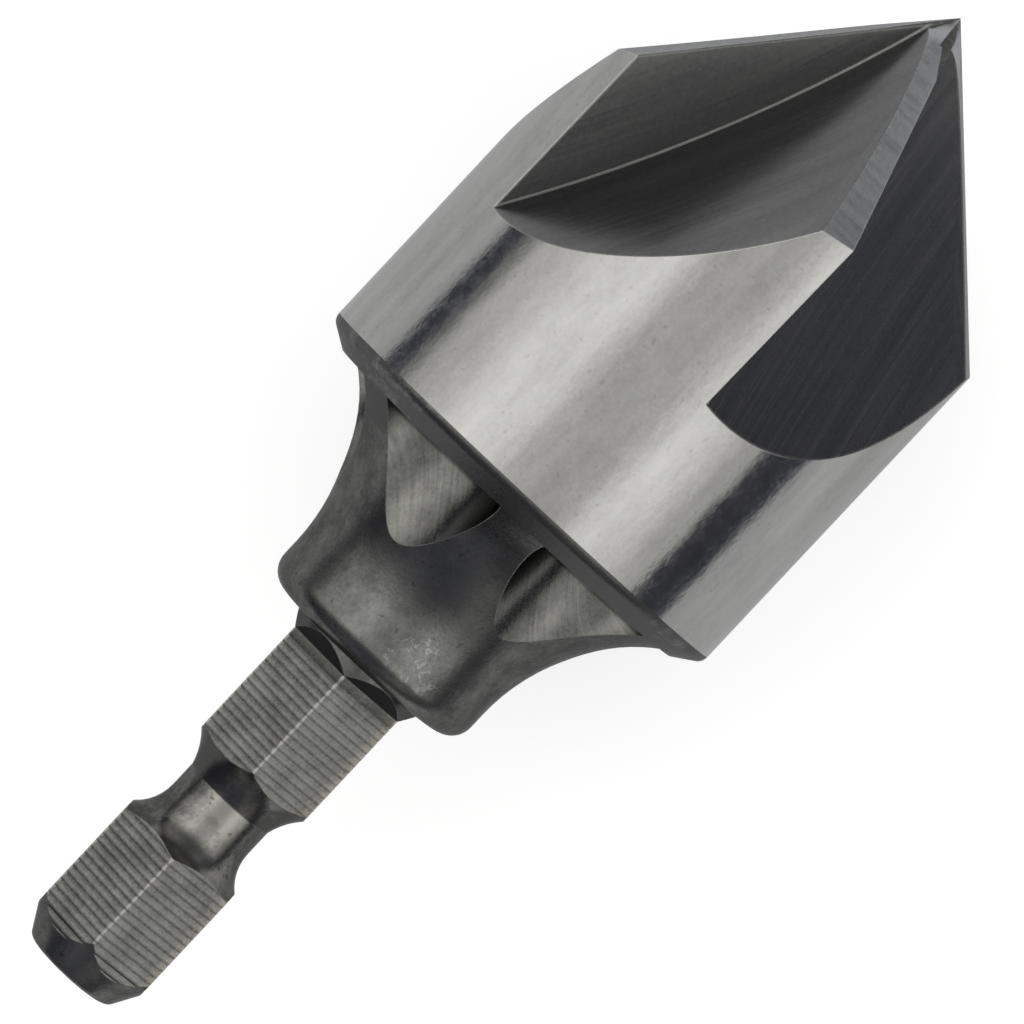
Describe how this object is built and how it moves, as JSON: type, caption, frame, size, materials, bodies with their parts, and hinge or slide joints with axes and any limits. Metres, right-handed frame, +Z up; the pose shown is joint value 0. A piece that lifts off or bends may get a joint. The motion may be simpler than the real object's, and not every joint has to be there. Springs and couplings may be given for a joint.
{
  "type": "countersink bit",
  "caption": "Fluted steel countersink bit with a conical cutting head and a ribbed, grooved hexagonal quick-change shank.",
  "frame": {"origin": "centre of the shank's end face, on the tool axis", "axes": "+X along the tool axis from the shank's end face to the cutting point, +Z up with the bit lying on its cylindrical head"},
  "size_m": [0.0596, 0.023, 0.023],
  "materials": {
    "tool_steel": "satin ground steel on the cylinder, black-oxide steel on flare and flutes"
  },
  "bodies": {
    "root": {"countersink_bit": "tool_steel"}
  },
  "joints": []
}
